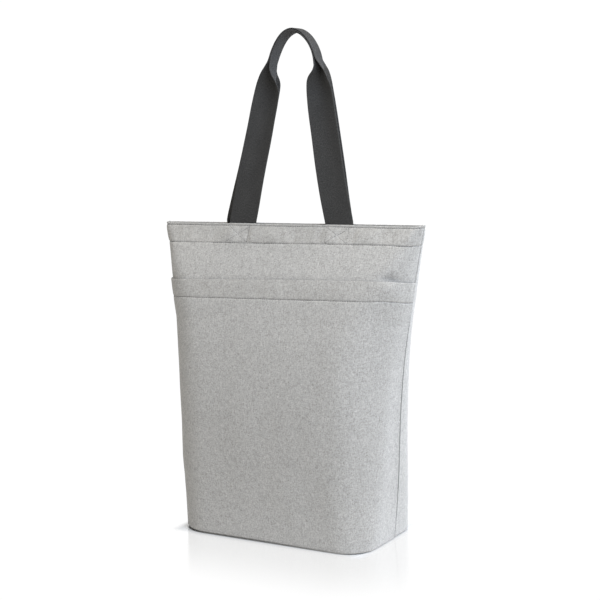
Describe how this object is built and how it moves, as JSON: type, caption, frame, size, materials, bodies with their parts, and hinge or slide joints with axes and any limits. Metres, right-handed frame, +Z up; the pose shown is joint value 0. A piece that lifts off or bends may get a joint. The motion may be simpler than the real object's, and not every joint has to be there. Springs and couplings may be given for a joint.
{
  "type": "fabric tote bag",
  "caption": "Open-top fabric tote standing on a stiffened base, with a full-width front pocket and folding webbing carry handles.",
  "frame": {"origin": "centre of the base on the ground", "axes": "+Z up, -Y out of the front with the pocket, +X to the right seen from the front"},
  "size_m": [0.3636, 0.1503, 0.6127],
  "materials": {
    "shell_fabric": "light grey melange weave, matt",
    "base_fabric": "grey melange weave, matt",
    "binding_tape": "ribbed grey tape",
    "stiffener_board": "matt black",
    "webbing": "charcoal webbing",
    "grey_thread": "grey thread",
    "dark_thread": "charcoal thread"
  },
  "bodies": {
    "bag": {"front_panel": "shell_fabric", "back_panel": "shell_fabric", "bottom_panel": "base_fabric", "front_pocket": "shell_fabric", "left_seam_binding": "binding_tape", "right_seam_binding": "binding_tape", "base_seam_binding": "binding_tape", "front_handle_tails": "webbing", "rear_handle_tails": "webbing", "rim_topstitching": "grey_thread", "hem_stitching": "grey_thread", "pocket_hem_stitching": "grey_thread", "front_handle_box_stitching": "grey_thread", "rear_handle_box_stitching": "grey_thread", "side_seam_stitching": "grey_thread", "base_seam_stitching": "grey_thread"},
    "front_strap": {"front_handle": "webbing", "front_grip_stitching": "dark_thread"},
    "rear_strap": {"rear_handle": "webbing", "rear_grip_stitching": "dark_thread"},
    "board": {"base_board": "stiffener_board"}
  },
  "joints": [
    {"name": "front_handle_swing", "type": "hinge", "parent": "bag", "child": "front_strap", "pos_m": [0, -0.00607, 0.386], "axis": [1, 0, 0], "range_deg": [0, 145]},
    {"name": "rear_handle_swing", "type": "hinge", "parent": "bag", "child": "rear_strap", "pos_m": [0, 0.00607, 0.386], "axis": [-1, 0, 0], "range_deg": [0, 145]},
    {"name": "base_board_tilt", "type": "hinge", "parent": "bag", "child": "board", "pos_m": [0, 0.068, 0.0031], "axis": [-1, 0, 0], "range_deg": [0, 75]}
  ]
}
